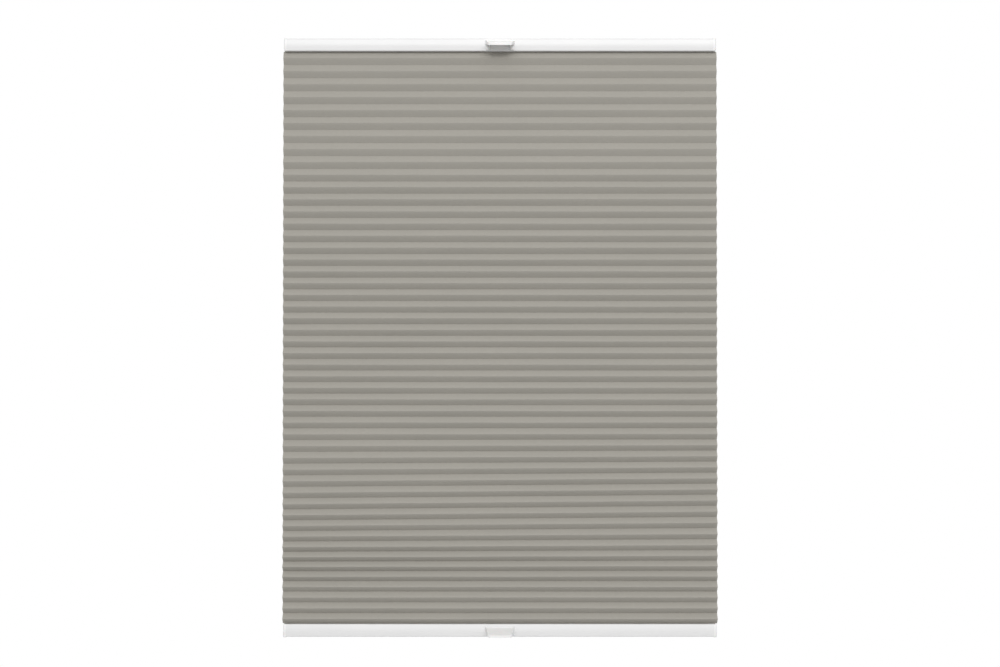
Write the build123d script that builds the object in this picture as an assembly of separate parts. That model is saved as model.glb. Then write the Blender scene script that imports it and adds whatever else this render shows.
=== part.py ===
from build123d import *
from math import ceil, sqrt
import os

# Pleated blind with a honeycomb fabric held between two rails that both move on tension cords.
# Millimetres. +X runs along the rails, -Y faces the room and +Z points up.
# The origin is the middle of the top rail's outer (upper) face.

# ---- Whole blind ----
blind_width = 600.0  # over the end caps
blind_height = 830.0  # from the top rail's outer face to the bottom rail's outer face

# ---- Rail: one extrusion, used upright at the top and turned over at the bottom ----
rail_height = 17.5
rail_depth = 20.6  # at mid height, where the front and back faces bulge most
rail_wall = 1.2
face_bow = 1.0  # how far the front and back faces bulge
outer_edge_radius = 2.2
slot_edge_radius = 0.7
slot_lip = 1.5  # thickness of the two lips that hold the fabric strip
slot_height = 2.0  # inside height of the slot above the lips
slot_mouth = 9.0  # gap between the two lips
web = 1.0  # wall between the slot and the cord chamber

# ---- End cap: one moulding, pushed into each end of each rail ----
cap_flange = 4.0
cap_proud = 0.8  # how far the flange stands above the rail's outer face
cap_edge_radius = 1.6
plug_length = 12.0
plug_wall = 1.6
plug_clearance = 0.1

# ---- Fabric strip: holds the first and the last cell in the rail's slot ----
strip_thickness = 1.4
strip_clearance = 0.3  # to the slot's side walls and to the edges of its mouth
strip_end_gap = 0.5

# ---- Honeycomb fabric ----
facet_length = 10.25  # from glue line to crease along the cloth
pitch_spread = 0.134  # the top cell hangs this share taller than the mean, the bottom one lower
full_stretch = 0.9  # the most of its cloth's full height that the tallest cell may hang
glue_width = 5.0
cloth = 0.35
fabric_overhang = 1.2  # past each end of the rails
rail_gap = 0.3  # between the last cell and the bottom rail's strip

# ---- Cord route: left and right of the middle ----
cord_inset = 70.0  # from each end of the blind
eyelet_bore = 2.5
eyelet_wall = 0.9
eyelet_flange = 7.0  # of the rim that seats under the rail's wall
eyelet_rim = 0.8
eyelet_reach = 2.4  # of the barrel below the rail's wall
eyelet_clearance = 0.05
cord_passage = 4.0  # holes in the guide, the web, the strip and the cloth
guide_length = 16.0
guide_clearance = 0.15
guide_groove = 3.0

# ---- Tension spring, lying in the top rail's cord chamber ----
spring_diameter = 5.0  # over the coils
spring_wire = 0.7
spring_turns = 36
spring_pitch = 2.6
spring_start = 40.0  # from the middle of the rail
spring_lift = 0.15  # above the chamber's floor

# ---- Handle: one moulding, snapped into the front wall of each rail ----
handle_width = 41.0  # of its base plate, across the top edge
handle_foot_width = 39.0  # of its base plate, across the lower edge
handle_top = 2.9  # below the rail's upper face
handle_foot_gap = 1.1  # from its lower edge to the rail's slot side
handle_reach = 24.0  # from the rail's front face to the hood's tip
hood_taper = 3.3  # each side of the hood draws in by this much at the front
hood_waist = 0.7  # how far each side curves in between
hood_front_bow = 2.6  # how far the front edge bulges in plan
hood_corner = 4.0
hood_drop = 8.8  # from the hood's root to its tip
hood_band = 3.4  # height of the turned-down edge at the tip
hood_side = 5.8  # and where it leaves the base
hood_wall = 1.6
rim_width = 1.9
rim_rise = 0.6
back_plate = 1.2
rib_spacing = 29.4
rib_width = 1.3
handle_clearance = 0.1
peg_spacing = 24.0
peg_diameter = 3.8
peg_clearance = 0.1
peg_grip = 0.35  # how far the barb overhangs its hole
peg_barb = 1.8
peg_slit = 0.9

# ---- Worked out ----
rail_length = blind_width - 2 * cap_flange
half_depth = rail_depth / 2
edge_depth = half_depth - face_bow
chamber_floor = -(rail_height - slot_lip - slot_height - web)
slot_roof = chamber_floor - web
slot_floor = slot_roof - slot_height
fabric_top = -rail_height
fabric_bottom = -(blind_height - rail_height) + rail_gap
fabric_drop = fabric_top - fabric_bottom
cell_count = ceil(fabric_drop * (1 + pitch_spread) / (2 * facet_length * full_stretch))
mean_pitch = fabric_drop / cell_count
cord_x = blind_width / 2 - cord_inset
lower_rail_shift = -(blind_height - rail_height)
front = -half_depth
handle_foot = rail_height - handle_foot_gap  # below the rail's upper face
hood_slope = hood_drop / handle_reach
long = 2 * blind_width  # longer than anything it cuts


def on_yz(*points):
    """The points (y, z) as places in the plane x = 0."""
    return [Vector(0, y, z) for y, z in points]


def along_x(face, length):
    """The face of the plane x = 0 as a bar of that length, centred on the plane."""
    return extrude(face, amount=length / 2, dir=(1, 0, 0), both=True)


def box(x, y, z):
    """The block between two values of x, two of y and two of z."""
    size = [abs(b - a) for a, b in (x, y, z)]
    middle = [(a + b) / 2 for a, b in (x, y, z)]
    return Pos(*middle) * Box(*size)


def turned_over(part):
    """The part as it sits on the bottom rail, which is the top rail turned over."""
    return Pos(0, 0, -blind_height) * mirror(part, about=Plane.XY)


# ---- Rail ----
def outline(inset=0.0, top=0.0):
    """The rail's outline, moved in by inset on its bulging sides, with its upper edge at top."""
    y = edge_depth - inset
    bulge = half_depth - inset
    upper_left, upper_right, lower_right, lower_left = on_yz(
        (-y, top), (y, top), (y, -rail_height), (-y, -rail_height)
    )
    front_middle, back_middle = on_yz((-bulge, -rail_height / 2), (bulge, -rail_height / 2))
    edges = [
        Line(upper_left, upper_right),
        ThreePointArc(upper_right, back_middle, lower_right),
        Line(lower_right, lower_left),
        ThreePointArc(lower_left, front_middle, upper_left),
    ]
    return Wire(edges)


def bar(length, inset=0.0, top=0.0):
    return along_x(Face(outline(inset, top)), length)


def rounded_bar(length, top, radius):
    """The outline as a bar with its long outer edges and its slot-side edges rounded."""
    solid = bar(length, top=top)
    edges = solid.edges().filter_by(Axis.X)
    solid = fillet(edges.filter_by(lambda e: e.center().Z > -rail_height / 2), radius)
    edges = solid.edges().filter_by(Axis.X)
    lower = edges.filter_by(lambda e: e.center().Z < -rail_height + slot_edge_radius / 4)
    return fillet(lower, slot_edge_radius)


def cord_cylinder(diameter, low, high, x):
    middle = (low + high) / 2
    return Pos(x, 0, middle) * Cylinder(diameter / 2, high - low)


def chamber(length, clearance):
    """The cord chamber's inside, less a clearance all round."""
    band = box((-long, long), (-long, long), (chamber_floor + clearance, -rail_wall - clearance))
    return bar(length, rail_wall + clearance) & band


def make_rail():
    solid = rounded_bar(rail_length, 0.0, outer_edge_radius)
    solid -= chamber(long, 0.0)
    slot_band = box((-long, long), (-long, long), (slot_floor, slot_roof))
    solid -= bar(long, rail_wall) & slot_band
    solid -= box((-long, long), (-slot_mouth / 2, slot_mouth / 2), (-long, slot_floor))
    for side in (-1, 1):
        barrel = eyelet_bore + 2 * eyelet_wall + 2 * eyelet_clearance
        solid -= cord_cylinder(barrel, -rail_wall - 1, 1, side * cord_x)
        solid -= cord_cylinder(cord_passage, slot_roof - 1, chamber_floor + 1, side * cord_x)
        hole = Cylinder(peg_diameter / 2 + peg_clearance, half_depth)
        solid -= Pos(side * peg_spacing / 2, -half_depth, -rail_height / 2) * Rot(90, 0, 0) * hole
    return solid


# ---- End cap, as it sits at the rail's right end ----
def make_cap():
    flange = rounded_bar(cap_flange, cap_proud, outer_edge_radius)
    outer_face = flange.faces().sort_by(Axis.X)[-1]
    flange = fillet(outer_face.edges(), cap_edge_radius)
    flange = Pos(rail_length / 2 + cap_flange / 2, 0, 0) * flange
    plug = chamber(plug_length, plug_clearance)
    hollow = bar(long, rail_wall + plug_clearance + plug_wall)
    low = chamber_floor + plug_clearance + plug_wall
    high = -rail_wall - plug_clearance - plug_wall
    hollow &= box((-long, long), (-long, long), (low, high))
    plug -= hollow
    return flange + Pos(rail_length / 2 - plug_length / 2, 0, 0) * plug


# ---- Fabric strip ----
def make_strip():
    length = rail_length - 2 * strip_end_gap
    head_band = box((-long, long), (-long, long), (slot_floor, slot_floor + strip_thickness))
    head = bar(length, rail_wall + strip_clearance) & head_band
    neck_half = slot_mouth / 2 - strip_clearance
    neck = box((-length / 2, length / 2), (-neck_half, neck_half), (-rail_height, slot_floor))
    strip = head + neck
    for side in (-1, 1):
        strip -= cord_cylinder(cord_passage, -rail_height - 1, slot_roof, side * cord_x)
    return strip


# ---- Cord guide: turns the cord from the chamber down into the fabric ----
def make_guide(x):
    block = chamber(guide_length, guide_clearance)
    middle = (chamber_floor - rail_wall) / 2
    block -= cord_cylinder(cord_passage, 2 * chamber_floor, 0, 0)
    groove = Rot(0, 90, 0) * Cylinder(guide_groove / 2, guide_length + 1)
    block -= Pos(0, 0, middle) * groove
    barrel_room = eyelet_bore + 2 * (eyelet_wall + guide_clearance)
    block -= cord_cylinder(barrel_room, -rail_wall - eyelet_reach - guide_clearance, 0, 0)
    rim_room = eyelet_flange + 2 * guide_clearance
    block -= cord_cylinder(rim_room, -rail_wall - eyelet_rim - guide_clearance, 0, 0)
    return Pos(x, 0, 0) * block


# ---- Eyelet: lines the cord's hole in the rail's outer wall, pushed in from the chamber ----
def make_eyelet(x):
    barrel = eyelet_bore / 2 + eyelet_wall
    body = cord_cylinder(2 * barrel, -rail_wall - eyelet_reach, 0, 0)
    body += cord_cylinder(eyelet_flange, -rail_wall - eyelet_rim, -rail_wall, 0)
    body -= cord_cylinder(eyelet_bore, -rail_height, rail_height, 0)
    return Pos(x, 0, 0) * body


# ---- Tension spring ----
def make_spring():
    mean_radius = (spring_diameter - spring_wire) / 2
    length = spring_turns * spring_pitch
    helix = Helix(pitch=spring_pitch, height=length, radius=mean_radius)
    section = Plane(origin=helix @ 0, z_dir=helix % 0) * Circle(spring_wire / 2)
    coil = sweep(section, path=helix, is_frenet=True)
    height = chamber_floor + spring_lift + spring_diameter / 2
    return Pos(spring_start, 0, height) * Rot(0, 90, 0) * coil


# ---- Honeycomb fabric ----
def glue_lines():
    """Heights of the glue lines, from the top one down; the cells hang taller towards the top."""
    heights = [fabric_top]
    for i in range(cell_count):
        share = 1 + pitch_spread * (1 - 2 * i / (cell_count - 1))
        heights.append(heights[-1] - mean_pitch * share)
    return heights


def make_fabric():
    length = blind_width + 2 * fabric_overhang
    start = -length / 2
    glue = glue_width / 2
    heights = glue_lines()
    side = [(glue, heights[0])]
    cells = []
    for top, bottom in zip(heights, heights[1:]):
        half = (top - bottom) / 2
        depth = sqrt(facet_length**2 - half**2)
        crease = (top + bottom) / 2
        side += [(glue + depth, crease), (glue, bottom)]
        thickness = cloth * facet_length / half  # of a sloping facet, measured level
        inner = glue + depth * cloth / half - thickness
        fold = glue + depth - thickness
        right = [(inner, top - cloth), (fold, crease), (inner, bottom + cloth)]
        left = [(-y, z) for y, z in reversed(right)]
        cells.append(Wire.make_polygon([Vector(start, y, z) for y, z in right + left]))
    mirrored = [(-y, z) for y, z in reversed(side)]
    boundary = Wire.make_polygon([Vector(start, y, z) for y, z in side + mirrored])
    cloth_face = Face(boundary, cells)
    fabric = extrude(cloth_face, amount=length, dir=(1, 0, 0))
    for x in (-cord_x, cord_x):
        fabric -= cord_cylinder(cord_passage, fabric_bottom - 1, fabric_top + 1, x)
    return fabric


# ---- Handle, as it sits on the top rail ----
def hood_plan(inset=0.0):
    """The hood seen from above: sides that curve in and a bulging front, moved in by inset."""
    root = handle_width / 2 - inset
    tip = root - hood_taper
    waist = root - hood_taper / 2 - hood_waist
    reach = front - handle_reach + inset
    shoulder = reach + hood_front_bow
    middle = (front + shoulder) / 2
    wire = Wire(
        [
            Line((root, 0, 0), (-root, 0, 0)),
            Line((-root, 0, 0), (-root, front, 0)),
            ThreePointArc((-root, front, 0), (-waist, middle, 0), (-tip, shoulder, 0)),
            ThreePointArc((-tip, shoulder, 0), (0, reach, 0), (tip, shoulder, 0)),
            ThreePointArc((tip, shoulder, 0), (waist, middle, 0), (root, front, 0)),
            Line((root, front, 0), (root, 0, 0)),
        ]
    )
    face = Face(wire)
    corners = face.vertices().filter_by(lambda v: v.Y < front - handle_reach / 2)
    return fillet(corners, hood_corner - inset)


def hood_prism(inset=0.0):
    """The plan as a tall prism around the handle."""
    face = Pos(0, 0, -2 * rail_height) * hood_plan(inset)
    return extrude(face, amount=3 * rail_height, dir=(0, 0, 1))


def under_slope(lowered):
    """All that lies under the hood's sloping top, lowered by the given amount."""
    top = -handle_top - lowered
    past = front - handle_reach - 1.0  # beyond the tip, where the slopes carry on
    fall = hood_slope * (front - past)
    upper = [(0, top), (front, top), (past, top - fall)]
    lower = [(y, z - long) for y, z in reversed(upper)]
    return along_x(Face(Wire.make_polygon(on_yz(*upper, *lower))), long)


def hood_profile():
    """The hood seen from the side, with its turned-down edge."""
    past = front - handle_reach - 1.0  # beyond the tip, where both edges carry on
    upper_fall = hood_slope * (front - past)
    lower_slope = (hood_drop + hood_band - hood_side) / handle_reach
    lower_fall = hood_side + lower_slope * (front - past)
    upper = [(0, 0), (front, 0), (past, -upper_fall)]
    lower = [(past, -lower_fall), (front, -hood_side), (0, -hood_side)]
    profile = Face(Wire.make_polygon(on_yz(*upper, *lower)))
    return Pos(0, 0, -handle_top) * along_x(profile, long)


def make_base():
    """The plate against the rail, narrower at its foot."""
    top_half = handle_width / 2
    foot_half = handle_foot_width / 2
    corners = [
        Vector(-top_half, 0, -handle_top),
        Vector(top_half, 0, -handle_top),
        Vector(foot_half, 0, -handle_foot),
        Vector(-foot_half, 0, -handle_foot),
    ]
    plate = Face(Wire.make_polygon(corners))
    return extrude(plate, amount=half_depth + back_plate, dir=(0, -1, 0))


def make_rib(x):
    """A rib from the base to the band, under the hood."""
    lip = -handle_top - hood_drop - hood_band
    tip = front - handle_reach
    side = on_yz((front, -handle_top), (front, -handle_foot), (tip, lip), (tip, lip + hood_band))
    rib = along_x(Face(Wire.make_polygon(side)), rib_width)
    rib = Pos(x, 0, 0) * rib
    return rib & hood_prism(hood_wall / 2) & under_slope(rim_rise + hood_wall / 2)


def make_peg(x):
    """A split peg that snaps through the rail's front wall, with its barb behind the wall."""
    barb_start = front + rail_wall + peg_clearance
    end = barb_start + peg_barb
    start = front - back_plate / 2
    shaft = Cylinder(peg_diameter / 2, end - start)
    shaft = Pos(0, (start + end) / 2, 0) * Rot(-90, 0, 0) * shaft
    barb = Cone(peg_diameter / 2 + peg_grip, peg_diameter / 2 - peg_grip, peg_barb)
    barb = Pos(0, (barb_start + end) / 2, 0) * Rot(-90, 0, 0) * barb
    slit = box((-peg_slit / 2, peg_slit / 2), (front + peg_clearance, end + 1), (-long, long))
    return Pos(x, 0, -rail_height / 2) * (shaft + barb - slit)


def make_handle():
    hood = hood_prism() & hood_profile()
    hood -= hood_prism(rim_width) - under_slope(rim_rise)
    hood -= hood_prism(hood_wall) & under_slope(rim_rise + hood_wall)
    solid = hood + make_base()
    for side in (-1, 1):
        solid += make_rib(side * rib_spacing / 2)
    solid -= bar(long, -handle_clearance)
    for side in (-1, 1):
        solid += make_peg(side * peg_spacing / 2)
    return solid


def build():
    """Every piece by its node's name."""
    rail = make_rail()
    right_cap = make_cap()
    left_cap = mirror(right_cap, about=Plane.YZ)
    strip = make_strip()
    handle = make_handle()
    parts = {
        "top_rail": rail,
        "bottom_rail": turned_over(rail),
        "top_left_end_cap": left_cap,
        "top_right_end_cap": right_cap,
        "bottom_left_end_cap": turned_over(left_cap),
        "bottom_right_end_cap": turned_over(right_cap),
        "top_handle": handle,
        "bottom_handle": Pos(0, 0, lower_rail_shift) * handle,
        "top_fabric_strip": strip,
        "bottom_fabric_strip": turned_over(strip),
        "honeycomb_fabric": make_fabric(),
        "tension_spring": make_spring(),
    }
    for side, x in (("left", -cord_x), ("right", cord_x)):
        guide = make_guide(x)
        eyelet = make_eyelet(x)
        parts[f"top_{side}_cord_guide"] = guide
        parts[f"bottom_{side}_cord_guide"] = turned_over(guide)
        parts[f"top_{side}_cord_eyelet"] = eyelet
        parts[f"bottom_{side}_cord_eyelet"] = turned_over(eyelet)
    return parts


def write_parts():
    os.makedirs("parts", exist_ok=True)
    for name, part in build().items():
        part.label = name
        export_step(part, f"parts/{name}.step")


write_parts()
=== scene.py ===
import math

import bmesh
import bpy
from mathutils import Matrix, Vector, noise


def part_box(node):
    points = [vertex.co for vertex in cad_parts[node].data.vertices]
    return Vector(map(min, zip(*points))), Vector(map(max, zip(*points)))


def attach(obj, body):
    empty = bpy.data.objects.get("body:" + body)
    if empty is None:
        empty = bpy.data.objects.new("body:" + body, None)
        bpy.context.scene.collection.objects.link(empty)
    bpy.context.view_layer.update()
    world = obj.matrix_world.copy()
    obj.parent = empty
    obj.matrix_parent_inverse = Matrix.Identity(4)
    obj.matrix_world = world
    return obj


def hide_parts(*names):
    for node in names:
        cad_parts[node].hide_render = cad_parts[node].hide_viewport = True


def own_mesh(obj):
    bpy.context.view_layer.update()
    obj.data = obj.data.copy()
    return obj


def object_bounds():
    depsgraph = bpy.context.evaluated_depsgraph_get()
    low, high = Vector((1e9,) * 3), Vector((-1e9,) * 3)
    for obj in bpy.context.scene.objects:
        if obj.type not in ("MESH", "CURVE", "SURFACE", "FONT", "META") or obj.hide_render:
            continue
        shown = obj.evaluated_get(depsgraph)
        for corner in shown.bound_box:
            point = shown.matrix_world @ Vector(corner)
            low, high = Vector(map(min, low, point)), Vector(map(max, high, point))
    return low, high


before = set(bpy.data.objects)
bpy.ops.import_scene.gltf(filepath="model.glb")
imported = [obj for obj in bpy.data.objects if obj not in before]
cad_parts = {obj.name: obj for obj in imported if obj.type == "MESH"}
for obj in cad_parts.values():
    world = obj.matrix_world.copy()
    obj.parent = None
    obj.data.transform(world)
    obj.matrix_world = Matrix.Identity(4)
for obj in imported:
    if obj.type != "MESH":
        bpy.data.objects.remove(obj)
cad_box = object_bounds()

# The pleated blind's looks around its CAD frame. Metres; the room is towards -Y and +Z points up.
MM = 0.001
UPPER = "top_rail_assembly"


# ---- Materials ----
class Finish:
    """A Principled material being written. Numbers that are the same all over go on its own sockets."""

    def __init__(self, name, **sockets):
        self.material = bpy.data.materials.new(name)
        self.material.use_nodes = True
        self.nodes = self.material.node_tree.nodes
        self.links = self.material.node_tree.links
        self.shader = self.nodes["Principled BSDF"]
        self.set(self.shader, sockets)

    def set(self, node, sockets):
        for name, value in sockets.items():
            socket = node.inputs[name.replace("_", " ")]
            if isinstance(value, bpy.types.NodeSocket):
                self.links.new(value, socket)
            else:
                socket.default_value = value

    def add(self, kind, settings=None, **sockets):
        node = self.nodes.new(kind)
        for name, value in (settings or {}).items():
            setattr(node, name, value)
        self.set(node, sockets)
        return node

    def place(self, stretch=(1, 1, 1)):
        """Where a point lies on the piece, in metres, shrunk along each axis by stretch."""
        spot = self.add("ShaderNodeTexCoord").outputs["Object"]
        return self.mapped(spot, stretch)

    def mapped(self, spot, stretch, turn=0.0):
        """The same spot, turned about Z and shrunk along each axis."""
        node = self.add("ShaderNodeMapping", Vector=spot, Scale=stretch, Rotation=(0, 0, turn))
        return node.outputs["Vector"]

    def grain(self, spot, size, detail=3.0, roughness=0.5):
        """Noise whose blotches are about size metres across."""
        node = self.add(
            "ShaderNodeTexNoise", Vector=spot, Scale=1 / size, Detail=detail, Roughness=roughness
        )
        return node.outputs["Fac"]

    def spread(self, value, low, high, start=0.3, end=0.7):
        """The value's usual range, start to end, as low to high."""
        sockets = {"Value": value, "From Min": start, "From Max": end, "To Min": low, "To Max": high}
        node = self.add("ShaderNodeMapRange")
        self.set(node, sockets)
        return node.outputs["Result"]

    def maths(self, operation, a, b):
        node = self.add("ShaderNodeMath", {"operation": operation})
        for socket, value in zip(node.inputs, (a, b)):
            if isinstance(value, bpy.types.NodeSocket):
                self.links.new(value, socket)
            else:
                socket.default_value = value
        return node.outputs[0]

    def mix(self, share, first, second):
        node = self.add("ShaderNodeMix", {"data_type": "RGBA"})
        self.links.new(share, node.inputs[0])
        for socket, value in ((node.inputs[6], first), (node.inputs[7], second)):
            if isinstance(value, bpy.types.NodeSocket):
                self.links.new(value, socket)
            else:
                socket.default_value = value
        return node.outputs[2]

    def bump(self, height, depth, strength=1.0, under=None):
        """A relief of that depth in metres, over another relief."""
        node = self.add("ShaderNodeBump", Height=height, Distance=depth, Strength=strength)
        if under is not None:
            self.links.new(under, node.inputs["Normal"])
        return node.outputs["Normal"]

    def finish(self, **sockets):
        self.set(self.shader, sockets)
        return self.material


def grey(level, warm=0.0):
    """A grey of that linear level, warmer for more than 0."""
    return (level * (1 + warm), level, level * (1 - 1.6 * warm), 1.0)


def make_enamel():
    """Glossy white paint on drawn aluminium: faint die lines along the rail under a slight orange peel."""
    f = Finish("rail_enamel", Roughness=0.3, IOR=1.5)
    lines = f.grain(f.place((0.02, 1, 1)), 0.9 * MM, 2.0)
    peel = f.grain(f.place(), 2.2 * MM, 2.0)
    clouds = f.grain(f.place((0.25, 1, 1)), 22 * MM, 3.0)
    colour = f.mix(f.spread(clouds, 0, 1), grey(0.775), grey(0.8, 0.002))
    relief = f.bump(lines, 0.004 * MM)
    relief = f.bump(peel, 0.005 * MM, under=relief)
    roughness = f.spread(peel, 0.3, 0.33)
    return f.finish(Base_Color=colour, Normal=relief, Roughness=roughness)


def make_moulding(name, level, warm, gloss):
    """White moulded plastic: a fine spark-eroded grain and a slight cloudiness."""
    f = Finish(name, Roughness=gloss, IOR=1.5, Subsurface_Weight=0.04, Subsurface_Scale=0.6 * MM)
    spark = f.grain(f.place(), 0.28 * MM, 3.0, 0.6)
    flow = f.grain(f.place((0.5, 1, 1)), 9 * MM, 3.0)
    colour = f.mix(f.spread(flow, 0, 1), grey(level * 0.975, warm), grey(level, warm))
    relief = f.bump(flow, 0.03 * MM, 0.5)
    relief = f.bump(spark, 0.008 * MM, under=relief)
    roughness = f.spread(spark, gloss - 0.04, gloss + 0.06)
    return f.finish(Base_Color=colour, Normal=relief, Roughness=roughness)


def make_steel():
    """Drawn spring wire: fine lines along the wire and a faint oil tint."""
    f = Finish("spring_steel", Metallic=1.0, Roughness=0.3)
    lines = f.grain(f.place((1, 0.2, 0.2)), 0.12 * MM, 3.0, 0.6)
    tint = f.grain(f.place(), 6 * MM, 2.0)
    colour = f.mix(f.spread(tint, 0, 1), (0.42, 0.42, 0.43, 1), (0.52, 0.5, 0.47, 1))
    relief = f.bump(lines, 0.006 * MM)
    return f.finish(Base_Color=colour, Normal=relief, Roughness=f.spread(lines, 0.24, 0.42))


def make_cloth():
    """Warm grey spunlaced polyester: fibres that run mostly along the pleats, crossed by finer ones."""
    f = Finish(
        "honeycomb_cloth",
        Roughness=0.88,
        IOR=1.4,
        Specular_IOR_Level=0.25,
        Sheen_Weight=0.12,
        Sheen_Roughness=0.45,
    )
    spot = f.add("ShaderNodeUVMap", {"uv_map": "cloth"}).outputs["UV"]
    along = f.grain(f.mapped(spot, (0.06, 1, 1)), 0.34 * MM, 4.0, 0.6)
    left = f.grain(f.mapped(spot, (0.12, 1, 1), math.radians(32)), 0.3 * MM, 3.0, 0.6)
    right = f.grain(f.mapped(spot, (0.12, 1, 1), math.radians(-28)), 0.3 * MM, 3.0, 0.6)
    crossed = f.maths("MAXIMUM", left, right)
    fibres = f.maths("ADD", f.maths("MULTIPLY", along, 0.6), f.maths("MULTIPLY", crossed, 0.4))
    clouds = f.grain(f.mapped(spot, (0.35, 1, 1)), 7 * MM, 4.0, 0.6)
    batch = f.grain(f.mapped(spot, (0.6, 1, 1)), 90 * MM, 2.0)
    pale, deep = (0.402, 0.384, 0.346, 1), (0.338, 0.322, 0.287, 1)
    colour = f.mix(f.spread(fibres, 0, 1, 0.4, 0.66), deep, pale)
    colour = f.mix(f.spread(clouds, 0, 0.45), colour, (0.385, 0.368, 0.331, 1))
    colour = f.mix(f.spread(batch, 0, 0.35), colour, (0.352, 0.339, 0.304, 1))
    relief = f.bump(clouds, 0.05 * MM, 0.6)
    relief = f.bump(fibres, 0.015 * MM, under=relief)
    return f.finish(Base_Color=colour, Normal=relief)


# ---- Honeycomb fabric ----
CELL_COUNT = 49
PITCH_SPREAD = 0.134  # the top cell hangs this share taller than the mean, the bottom one lower
GLUE_HALF = 2.5 * MM
CLOTH = 0.35 * MM
FACET = 10.25 * MM
CREASE_ROUND = 0.55 * MM  # along each facet
STATIONS = 48
# The hang, as gentle swells with round values. Each one: its middle below the cloth's top, how far it
# reaches up and down, its rise, and its further rise at TILT_REACH to the right, in millimetres.
TILT_REACH = 0.235
SWELLS = (
    (165, 60, -1, 0),
    (450, 270, 5, 0),
    (630, 120, 0, 2),
    (740, 54, 2, 0),
)
FACET_STEPS = (1 / 3, 2 / 3)
GLUE_SWAY = 0.12 * MM  # of the glue lines' edges, out of the wall
CREASE_SINK = 0.35 * MM  # of the creases, inwards
CREASE_SWAY = 0.3 * MM  # of the creases, up and down
SHARP_ANGLE = 28  # degrees
# Where along the cloth each face's fibre pattern starts, in metres, so that no two look alike.
BACK_START = 1.3
INNER_FRONT_START = 2.6
INNER_BACK_START = 5.2
CELL_START_STEP = 0.05


def even_glue_heights(top, bottom):
    """Heights of the glue lines, from the top one down."""
    mean = (top - bottom) / CELL_COUNT
    heights = [top]
    for i in range(CELL_COUNT):
        share = 1 + PITCH_SPREAD * (1 - 2 * i / (CELL_COUNT - 1))
        heights.append(heights[-1] - mean * share)
    return heights


def hung_glue_heights(even, x):
    """The glue lines where the cloth really hangs at x, which is a little off the even rule."""
    hung = []
    for height in even:
        depth = (even[0] - height) / MM
        lift = 0.0
        for middle, reach, rise, tilt in SWELLS:
            off = abs(depth - middle) / reach
            if off < 1:
                lift += (1 + math.cos(math.pi * off)) / 2 * (rise + tilt * x / TILT_REACH)
        hung.append(height + lift * MM)
    return hung


def wander(x, row, amount, seed):
    """A slow wander along the pleat, different in each row."""
    return amount * noise.noise(Vector((x * 7.0, row * 0.61, seed)))


def fold_side(neck_top, crease, neck_bottom):
    """One side of a cell from its upper glue edge over its crease to the lower one, as (y, z) places."""
    upper, lower = neck_top - crease, neck_bottom - crease
    start = crease + upper.normalized() * CREASE_ROUND
    end = crease + lower.normalized() * CREASE_ROUND
    middle = 0.25 * start + 0.5 * crease + 0.25 * end
    places = [neck_top]
    places += [neck_top.lerp(start, t) for t in FACET_STEPS]
    places += [start, middle, end]
    places += [end.lerp(neck_bottom, t) for t in FACET_STEPS]
    places.append(neck_bottom)
    return places


def inner_side(neck_top, crease, neck_bottom):
    """The same side as seen inside the cell, one cloth thickness in."""
    half_top, half_bottom = neck_top.y - crease.y, crease.y - neck_bottom.y
    reach = abs(crease.x) - abs(neck_top.x)
    outward = math.copysign(1, crease.x)
    slant = math.hypot(reach, half_top) / half_top
    level = CLOTH * slant  # a sloping facet's thickness, measured level
    neck = abs(neck_top.x) + reach * CLOTH / half_top - level
    fold = abs(crease.x) - level
    return fold_side(
        Vector((outward * neck, neck_top.y - CLOTH)),
        Vector((outward * fold, crease.y)),
        Vector((outward * neck, neck_bottom.y + CLOTH)),
    )


def fabric_section(x, heights):
    """Both outer sides and each cell's inner sides at one place along the pleats."""
    outer = {-1: [], 1: []}
    inner = []
    for i, (top, bottom) in enumerate(zip(heights, heights[1:])):
        half = (top - bottom) / 2
        depth = math.sqrt(FACET**2 - half**2)
        sides = []
        for outward in (-1, 1):
            upper_sway = wander(x, i, GLUE_SWAY, 3.1 * outward) if i else 0.0
            lower_sway = wander(x, i + 1, GLUE_SWAY, 3.1 * outward) if i + 1 < CELL_COUNT else 0.0
            crease = Vector(
                (
                    outward * (GLUE_HALF + depth - abs(wander(x, i, CREASE_SINK, 9.7 * outward))),
                    (top + bottom) / 2 + wander(x, i, CREASE_SWAY, 6.3 * outward),
                )
            )
            neck_top = Vector((outward * (GLUE_HALF + upper_sway), top))
            neck_bottom = Vector((outward * (GLUE_HALF + lower_sway), bottom))
            places = fold_side(neck_top, crease, neck_bottom)
            outer[outward] += places if i == 0 else places[1:]
            sides.append(inner_side(neck_top, crease, neck_bottom))
        inner.append(sides)
    return outer, inner


def ring_faces(first, second):
    """Quads between two closed rings of vertex numbers."""
    count = len(first)
    return [
        (first[j], first[(j + 1) % count], second[(j + 1) % count], second[j])
        for j in range(count)
    ]


def lay_lengths(places, start):
    """How far along the cloth each place lies."""
    lengths = [start]
    for a, b in zip(places, places[1:]):
        lengths.append(lengths[-1] + (b - a).length)
    return lengths


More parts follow.
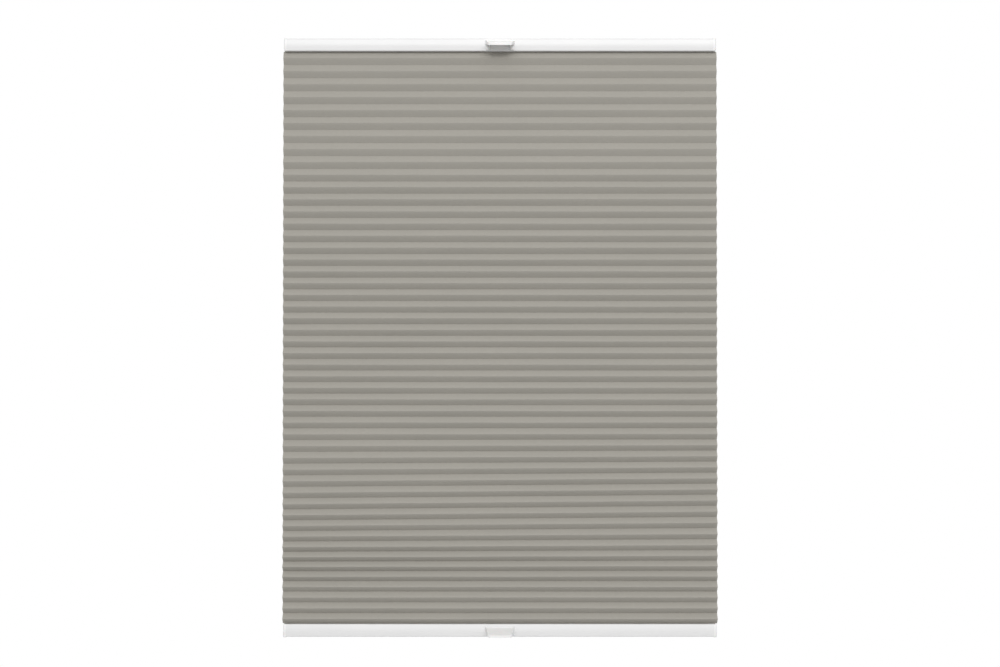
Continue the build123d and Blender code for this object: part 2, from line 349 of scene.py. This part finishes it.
def make_fabric(material):
    low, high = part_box("honeycomb_fabric")
    even = even_glue_heights(high.z, low.z)
    points, cloth_places, faces = [], [], []

    def put(x, places, start):
        first = len(points)
        points.extend((x, place.x, place.y) for place in places)
        cloth_places.extend((x, s) for s in lay_lengths(places, start))
        return list(range(first, len(points)))

    rows = []
    for k in range(STATIONS + 1):
        x = low.x + (high.x - low.x) * k / STATIONS
        outer, inner = fabric_section(x, hung_glue_heights(even, x))
        front = put(x, outer[-1], 0.0)
        back = put(x, outer[1], BACK_START)
        cells = []
        for i, (inner_front, inner_back) in enumerate(inner):
            shift = i * CELL_START_STEP
            cell_front = put(x, inner_front, INNER_FRONT_START + shift)
            cells.append((cell_front, put(x, inner_back, INNER_BACK_START + shift)))
        rows.append((front, back, cells))
    for (front, back, cells), (next_front, next_back, next_cells) in zip(rows, rows[1:]):
        outline = front + back[::-1]
        next_outline = next_front + next_back[::-1]
        faces += ring_faces(outline, next_outline)
        for (a, b), (next_a, next_b) in zip(cells, next_cells):
            faces += ring_faces(a + b[::-1], next_a + next_b[::-1])
    for front, back, cells in (rows[0], rows[-1]):
        step = len(cells[0][0]) - 1
        for i, (a, b) in enumerate(cells):
            outer_front = front[i * step : (i + 1) * step + 1]
            outer_back = back[i * step : (i + 1) * step + 1]
            faces += ring_faces(outer_front + outer_back[::-1], a + b[::-1])
    mesh = bpy.data.meshes.new("honeycomb_cloth")
    mesh.from_pydata(points, [], faces)
    layer = mesh.uv_layers.new(name="cloth")
    for loop in mesh.loops:
        layer.data[loop.index].uv = cloth_places[loop.vertex_index]
    return finish_mesh("honeycomb_cloth", mesh, material, SHARP_ANGLE)


def finish_mesh(name, mesh, material, sharp_degrees):
    """Turns the faces outward, shades them smoothly up to an angle and puts the mesh in the scene."""
    work = bmesh.new()
    work.from_mesh(mesh)
    bmesh.ops.recalc_face_normals(work, faces=work.faces)
    work.to_mesh(mesh)
    work.free()
    for face in mesh.polygons:
        face.use_smooth = True
    mesh.set_sharp_from_angle(angle=math.radians(sharp_degrees))
    mesh.materials.append(material)
    piece = bpy.data.objects.new(name, mesh)
    bpy.context.scene.collection.objects.link(piece)
    return piece


# ---- Stage ----
CAMERA_REACH = 2.15  # from the rails' front
CAMERA_HEIGHT = -0.502
CAMERA_TILT = math.radians(0.6)  # upwards
LENS = 55.9
SENSOR = 36.0
FRAME_SHIFT = 0.05
FLOOR_DROP = 0.8  # below the blind
FLOOR_RADIUS = 1.45
LAMP_REACH = 3.8
BACK_SUN_REACH = 3
SKY_BAND = 0.1  # the sky changes over this much of its height, above and below the horizon
SKY_LOW = 0.34
SKY_HIGH = 0.74


def make_camera():
    data = bpy.data.cameras.new("camera")
    data.lens = LENS
    data.sensor_width = SENSOR
    data.shift_y = FRAME_SHIFT
    camera = bpy.data.objects.new("camera", data)
    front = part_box("top_rail")[0].y
    camera.location = (0, front - CAMERA_REACH, CAMERA_HEIGHT)
    camera.rotation_euler = (math.pi / 2 + CAMERA_TILT, 0, 0)
    bpy.context.scene.collection.objects.link(camera)
    bpy.context.scene.camera = camera


def aim(lamp, place, target):
    lamp.location = place
    lamp.rotation_euler = (Vector(target) - Vector(place)).to_track_quat("-Z", "Y").to_euler()


def from_middle(azimuth, elevation, reach):
    """A place round the blind's middle. Azimuth 0 is the room side and 90 the right."""
    a, e = math.radians(azimuth), math.radians(elevation)
    middle = (cad_box[0] + cad_box[1]) / 2
    way = Vector((math.sin(a) * math.cos(e), -math.cos(a) * math.cos(e), math.sin(e)))
    return middle + way * reach


def make_softbox(name, wide, tall, energy, azimuth, elevation):
    data = bpy.data.lights.new(name, "AREA")
    data.shape = "RECTANGLE"
    data.size, data.size_y = wide, tall
    data.energy = energy
    lamp = bpy.data.objects.new(name, data)
    aim(lamp, from_middle(azimuth, elevation, LAMP_REACH), (cad_box[0] + cad_box[1]) / 2)
    bpy.context.scene.collection.objects.link(lamp)


def make_lamps():
    make_softbox("key", 3.0, 1.0, 57, 5, 28)
    make_softbox("fill", 2.4, 2.4, 16, 0, 10)
    back = bpy.data.lights.new("back", "SUN")
    back.angle = math.radians(50)
    back.energy = 0.8
    lamp = bpy.data.objects.new("back", back)
    aim(lamp, from_middle(165, 12, BACK_SUN_REACH), (cad_box[0] + cad_box[1]) / 2)
    bpy.context.scene.collection.objects.link(lamp)


def make_world():
    """A white studio whose soft light is stronger from above the horizon than from below."""
    world = bpy.data.worlds.new("studio")
    bpy.context.scene.world = world
    world.use_nodes = True
    nodes, links = world.node_tree.nodes, world.node_tree.links
    nodes.clear()
    way = nodes.new("ShaderNodeTexCoord")
    split = nodes.new("ShaderNodeSeparateXYZ")
    ramp = nodes.new("ShaderNodeMapRange")
    glow = nodes.new("ShaderNodeBackground")
    seen = nodes.new("ShaderNodeBackground")
    path = nodes.new("ShaderNodeLightPath")
    mix = nodes.new("ShaderNodeMixShader")
    out = nodes.new("ShaderNodeOutputWorld")
    links.new(way.outputs["Generated"], split.inputs[0])
    links.new(split.outputs["Z"], ramp.inputs["Value"])
    ramp.inputs["From Min"].default_value = -SKY_BAND
    ramp.inputs["From Max"].default_value = SKY_BAND
    ramp.inputs["To Min"].default_value = SKY_LOW
    ramp.inputs["To Max"].default_value = SKY_HIGH
    links.new(ramp.outputs["Result"], glow.inputs["Strength"])
    glow.inputs["Color"].default_value = (1, 1, 1, 1)
    seen.inputs["Color"].default_value = (1, 1, 1, 1)
    links.new(path.outputs["Is Camera Ray"], mix.inputs[0])
    links.new(glow.outputs[0], mix.inputs[1])
    links.new(seen.outputs[0], mix.inputs[2])
    links.new(mix.outputs[0], out.inputs["Surface"])


def make_floor():
    f = Finish("floor_paint", Roughness=0.7)
    clouds = f.grain(f.place(), 0.25, 3.0)
    colour = f.mix(f.spread(clouds, 0, 1), grey(0.77), grey(0.81))
    material = f.finish(Base_Color=colour)
    mesh = bpy.data.meshes.new("floor")
    work = bmesh.new()
    bmesh.ops.create_circle(work, cap_ends=True, segments=96, radius=FLOOR_RADIUS)
    work.to_mesh(mesh)
    work.free()
    mesh.materials.append(material)
    floor = bpy.data.objects.new("floor", mesh)
    floor.location.z = cad_box[0].z - FLOOR_DROP
    bpy.context.scene.collection.objects.link(floor)


def paint_nodes():
    """Gives each CAD node the finish of its material slot."""
    enamel = make_enamel()
    caps = make_moulding("cap_plastic", 0.86, 0.004, 0.34)
    handles = make_moulding("handle_plastic", 0.86, 0.004, 0.34)
    strips = make_moulding("strip_plastic", 0.7, 0.01, 0.45)
    guides = make_moulding("guide_plastic", 0.72, 0.02, 0.4)
    eyelets = make_moulding("eyelet_plastic", 0.82, 0.01, 0.3)
    steel = make_steel()
    finishes = {
        "rail": enamel,
        "cap": caps,
        "handle": handles,
        "strip": strips,
        "guide": guides,
        "eyelet": eyelets,
        "spring": steel,
    }
    for name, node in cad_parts.items():
        finish = finishes.get(name.split("_")[-1])
        if finish is None:
            continue
        node.data.materials.clear()
        node.data.materials.append(finish)


make_camera()
make_lamps()
make_world()
make_floor()
paint_nodes()

fabric = make_fabric(make_cloth())
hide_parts("honeycomb_fabric")
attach(fabric, UPPER)
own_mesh(fabric)
bpy.context.scene.view_settings.view_transform = "Standard"
